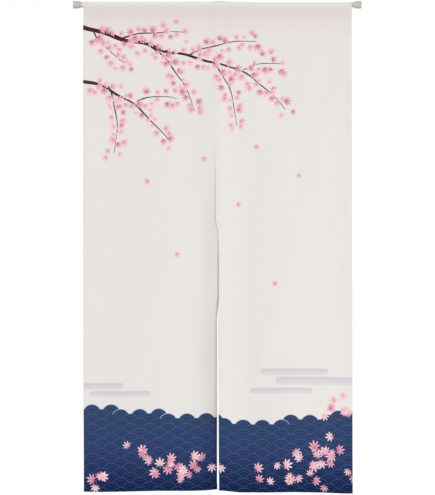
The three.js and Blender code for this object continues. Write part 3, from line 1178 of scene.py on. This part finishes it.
# %% Turn the rod
SPIN_STEPS = 96
WELD = 1e-5  # vertices closer than this many metres are one
ON_RIM = 1e-6  # a vertex this close to a profile's point belongs to its rim
SHARP = math.radians(35)
BORE = {"outer": 6.8, "inner": 5.7}
ROD_LENGTH = 884.0
INNER_START = 330.0
SEAT = 8.3  # a tube's end stands this far inside its cap's face
DEBURR = 0.25  # the bevel on a tube's rims
CAP = {"head": 11.2, "length": 17.0, "floor": 8.0, "round": 2.5}
COLLARS = {
    "left": {"radius": 9.1, "cone": 4.0, "length": 3.0, "socket": 8.3},
    "right": {"radius": 7.6, "cone": 7.0, "length": 4.0, "socket": 6.8},
}


def turned(name, profile, rims):
    """A closed profile of (x, radius) in millimetres spun round the x axis, its rims bevelled."""
    bm = bmesh.new()
    verts = [bm.verts.new((x * MM, 0, radius * MM)) for x, radius in profile]
    edges = [bm.edges.new(pair) for pair in zip(verts[:-1], verts[1:])]
    if profile[0][1] > 0:
        edges.append(bm.edges.new((verts[-1], verts[0])))
    bmesh.ops.spin(
        bm,
        geom=verts + edges,
        cent=(0, 0, 0),
        axis=(1, 0, 0),
        angle=2 * math.pi,
        steps=SPIN_STEPS,
        use_merge=True,
    )
    bmesh.ops.remove_doubles(bm, verts=bm.verts, dist=WELD)
    bmesh.ops.recalc_face_normals(bm, faces=bm.faces)

    def on_rim(vert, point):
        x, radius = profile[point]
        reach = math.hypot(vert.co.y, vert.co.z)
        return abs(vert.co.x - x * MM) < ON_RIM and abs(reach - radius * MM) < ON_RIM

    for rim in rims:
        bmesh.ops.bevel(
            bm,
            geom=[edge for edge in bm.edges if all(on_rim(vert, rim["point"]) for vert in edge.verts)],
            offset=rim["size"] * MM,
            segments=rim["segments"],
            profile=0.5,
            affect="EDGES",
            material=-1,
        )
    bmesh.ops.recalc_face_normals(bm, faces=bm.faces)
    mesh = bpy.data.meshes.new(name)
    bm.to_mesh(mesh)
    bm.free()
    mesh.shade_smooth()
    mesh.set_sharp_from_angle(angle=SHARP)
    return new_object(name, mesh)


def turned_tube(name, start, end, radius, bore):
    corners = [(start, bore), (start, radius), (end, radius), (end, bore)]
    rims = [{"point": i, "size": DEBURR, "segments": 3} for i in range(len(corners))]
    return turned(name, corners, rims)


def turned_cap(name, collar, flip):
    """A cap from its outer face inwards. The right one is the left one seen from the other end."""
    cone_end = CAP["length"] + collar["cone"]
    end = cone_end + collar["length"]
    profile = [
        (0, 0),
        (0, CAP["head"]),
        (CAP["length"], CAP["head"]),
        (cone_end, collar["radius"]),
        (end, collar["radius"]),
        (end, collar["socket"]),
        (CAP["floor"], collar["socket"]),
        (CAP["floor"], 0),
    ]
    rims = named_rows(
        "point size segments",
        (1, CAP["round"], 8),
        (2, 0.9, 5),
        (3, 0.8, 4),
        (4, 0.3, 3),
        (5, 0.2, 2),
    )
    if flip:
        profile = [(ROD_LENGTH - x, radius) for x, radius in profile]
    return turned(name, profile, rims)


outer_tube = turned_tube("outer_tube", SEAT, TUBE["outer_end"], TUBE["outer"], BORE["outer"])
inner_tube = turned_tube("inner_tube", INNER_START, ROD_LENGTH - SEAT, TUBE["inner"], BORE["inner"])
left_cap = turned_cap("left_cap", COLLARS["left"], False)
right_cap = turned_cap("right_cap", COLLARS["right"], True)
for piece in (outer_tube, inner_tube, left_cap, right_cap):
    print(piece.name, len(piece.data.polygons), "faces")

# %% [markdown]
# The tubes' coat is a glossy pale grey enamel over rolled steel. The caps are moulded plastic: a
# satin surface with a very fine grain, and never quite one tone.

# %% Give the rod its materials
TUBE_COLOUR = linear("d3d0ca")
CAP_COLOUR = linear("c6c2bb")


def grain(tree, shader, scale, depth, rough):
    """A fine noise in the object's own metres that moves the height and the roughness a little."""
    place = add_node(tree, "TexCoord").outputs["Object"]
    grains = {"Scale": scale, "Detail": 3.0, "Vector": place}
    noise = add_node(tree, "TexNoise", grains).outputs["Fac"]
    bump = add_node(tree, "Bump", {"Distance": depth * MM, "Strength": 0.5, "Height": noise})
    tree.links.new(bump.outputs["Normal"], shader.inputs["Normal"])
    spread = add_node(tree, "MapRange", {"To Min": rough[0], "To Max": rough[1], "Value": noise})
    tree.links.new(spread.outputs["Result"], shader.inputs["Roughness"])


enamel, enamel_tree, enamel_shader = own_material("pale enamel", TUBE_COLOUR, rough=0.32)
enamel_shader.inputs["Coat Weight"].default_value = 0.25
enamel_shader.inputs["Coat Roughness"].default_value = 0.15
grain(enamel_tree, enamel_shader, scale=260.0, depth=0.03, rough=(0.26, 0.4))
plastic, plastic_tree, plastic_shader = own_material("pale grey plastic", CAP_COLOUR, rough=0.5)
plastic_shader.inputs["Specular IOR Level"].default_value = 0.4
grain(plastic_tree, plastic_shader, scale=1400.0, depth=0.02, rough=(0.44, 0.6))
for piece in (outer_tube, inner_tube):
    piece.data.materials.append(enamel)
for piece in (left_cap, right_cap):
    piece.data.materials.append(plastic)
print("rod materials", [m.name for m in (enamel, plastic)])

# %% [markdown]
# Every hem is held by a machine stitch, and from near it is what makes the cloth look sewn. A
# stitch is a short length of thread that lies on the cloth and dives into it at both ends. The
# same row shows on the front and on the back. Each is laid in the flat cloth's plane and carried
# to its place by the same function as the cloth, so it follows every fold. A panel's stitches are
# one joined mesh.

# %% Sew the stitches
PITCH = 3.0
STITCH = 2.55  # the length of thread that shows
THREAD_R = 0.14
CORNERS = 4  # a thread has four rings of four corners each, and a lid at both ends
STITCH_RINGS = named_rows(  # a share of its length, and a radius and a lift in thread radii
    "share radius lift",
    (0.0, 0.35, -0.9),
    (0.16, 1.0, 0.75),
    (0.84, 1.0, 0.75),
    (1.0, 0.35, -0.9),
)
STITCH_POINTS = CORNERS * len(STITCH_RINGS)
STITCH_FACES = CORNERS * (len(STITCH_RINGS) - 1) + 2
AHEAD = 0.1  # a thread's direction is measured over this share of its stitch
FACE = SHEET / 2
HEM_BACK = FOLD_DEEP + SHEET / 2  # the hem's own back face
SHORT = {"edge": 1, "sleeve": 4, "lap": 2}  # a row stops this far from an edge or another row
TACK = {"before": 1.5, "below": 1.2, "wide": 9.0, "tall": 2.4, "pitch": THREAD_R * 2.1}


def stitch_row(start, end, out, back):
    """A straight row of stitches in the flat plane, on the front or on the back."""
    start, end = np.array(start, dtype=float), np.array(end, dtype=float)
    length = np.linalg.norm(end - start)
    along = (end - start) / length
    count = int(length / PITCH)
    first = (length - (count - 1) * PITCH - STITCH) / 2
    heads = start + along * (first + PITCH * np.arange(count))[:, None]
    return {"heads": heads, "along": along * STITCH, "out": -out if back else out}


def bar_tack(p, q, wide, tall):
    """Short upright stitches side by side, which stop a slit from tearing on."""
    places = np.arange(p, p + wide, TACK["pitch"])
    heads = np.stack([places, np.full(len(places), q)], 1)
    return {"heads": heads, "along": np.array([0.0, tall]), "out": FACE}


def stitch_faces():
    """One stitch's faces: bands between its rings, and a lid at each end."""
    bands = []
    for first in range(0, STITCH_POINTS - CORNERS, CORNERS):
        for turn in range(CORNERS):
            a, b = first + turn, first + (turn + 1) % CORNERS
            bands.append((a, b, b + CORNERS, a + CORNERS))
    start_lid = tuple(range(CORNERS))[::-1]
    end_lid = tuple(range(STITCH_POINTS - CORNERS, STITCH_POINTS))
    return np.array(bands + [start_lid, end_lid])


def stitches(panel, rows, ink):
    """One mesh of all the panel's stitches, with the colour of the cloth under them carried over them: its
    print, and its painted shade at the sleeve.
    """
    points, faces, colours = [], [], []
    for row in rows:
        heads = row["heads"]
        rings = []
        for ring in STITCH_RINGS:
            spot = heads + row["along"] * ring["share"]
            out = row["out"] + THREAD_R * ring["lift"] * np.sign(row["out"])
            centre, normal = hang(panel, spot[:, 0], spot[:, 1], out)
            further = spot + row["along"] * AHEAD
            ahead, _ = hang(panel, further[:, 0], further[:, 1], out)
            way = ahead - centre
            way /= np.linalg.norm(way, axis=-1, keepdims=True)
            side = np.cross(normal, way)
            for turn in np.arange(CORNERS) * 2 * math.pi / CORNERS:
                aside = side * math.cos(turn) + normal * math.sin(turn)
                rings.append(centre + aside * ring["radius"] * THREAD_R)
        start = sum(len(p) for p in points)
        base = start + STITCH_POINTS * np.arange(len(heads))[:, None, None]
        faces.append((base + stitch_faces()).reshape(-1, CORNERS))
        points.append(np.stack(rings, 1).reshape(-1, 3))
        under = [ink["middles"].find((*spot, 0))[1] for spot in heads + row["along"] / 2]
        colours.append(np.repeat(ink["colours"][under], STITCH_POINTS, axis=0))
    points, faces, colours = (np.concatenate(v) for v in (points, faces, colours))
    mesh = bpy.data.meshes.new(panel["name"] + "_stitches")
    mesh.from_pydata((points * MM).tolist(), [], faces.tolist())
    dye = mesh.color_attributes.new("print", "FLOAT_COLOR", "POINT")
    dye.data.foreach_set("color", np.column_stack([colours, np.ones(len(colours))]).ravel())
    mesh.shade_smooth()
    return new_object(mesh.name, mesh)


def panel_rows(panel):
    """Every row of stitches on a panel. Along the lap its rows take the place of the side one."""
    low, high = sides_of(panel)
    start, end = low + SHORT["edge"], high - SHORT["edge"]
    rows = []
    for q in (STITCH_Q, FLAP_STITCH_Q):
        rows.append(stitch_row((start, q), (end, q), FACE, False))
    foot = BOTTOM_Q + SHORT["edge"]
    high_top = STITCH_Q - SHORT["sleeve"]
    low_top = SEAM_END_Q - SHORT["lap"] if panel["laps"] else high_top
    hems = [
        ((low + SIDE_ROW, foot), (low + SIDE_ROW, low_top)),
        ((high - SIDE_ROW, foot), (high - SIDE_ROW, high_top)),
        ((start, BOTTOM_ROW_Q), (end, BOTTOM_ROW_Q)),
    ]
    for start, end in hems:
        rows.append(stitch_row(start, end, FACE, False))
        rows.append(stitch_row(start, end, HEM_BACK, True))
    for p in LAP_ROWS:
        top = STITCH_Q - SHORT["lap"]
        rows.append(stitch_row((p, SEAM_END_Q), (p, top), FACE, not panel["laps"]))
    if panel["laps"]:
        corner = (LAP_ROWS[0] - TACK["before"], SEAM_END_Q - TACK["below"])
        rows.append(bar_tack(*corner, TACK["wide"], TACK["tall"]))
    return rows


left_stitches = stitches(LEFT, panel_rows(LEFT), left_print)
right_stitches = stitches(RIGHT, panel_rows(RIGHT), right_print)
cotton, cotton_tree, cotton_shader = own_material("cotton thread", CLOTH_COLOUR, rough=0.8)
dyed = add_node(cotton_tree, "VertexColor", layer_name="print").outputs["Color"]
cotton_tree.links.new(dyed, cotton_shader.inputs["Base Color"])
for piece in (left_stitches, right_stitches):
    piece.data.materials.append(cotton)
    print(piece.name, len(piece.data.polygons) // STITCH_FACES, "stitches")

# %% [markdown]
# Last, each piece is hung under the model's root, and the imported solid that it dresses is hidden.

# %% Hang each piece under the root and hide the solid it dresses
for piece, node, slot in (
    (outer_tube, "rod_outer_tube", "rod"),
    (inner_tube, "rod_inner_tube", "rod"),
    (left_cap, "rod_left_cap", "cap"),
    (right_cap, "rod_right_cap", "cap"),
):
    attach(piece, "root")
    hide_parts(node)
for piece, panel, thread, tubes in (
    (left_cloth, LEFT, left_stitches, ["outer_tube"]),
    (right_cloth, RIGHT, right_stitches, ["outer_tube", "inner_tube"]),
):
    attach(thread, "root")
    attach(piece, "root")
    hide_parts(panel["name"] + "_panel")
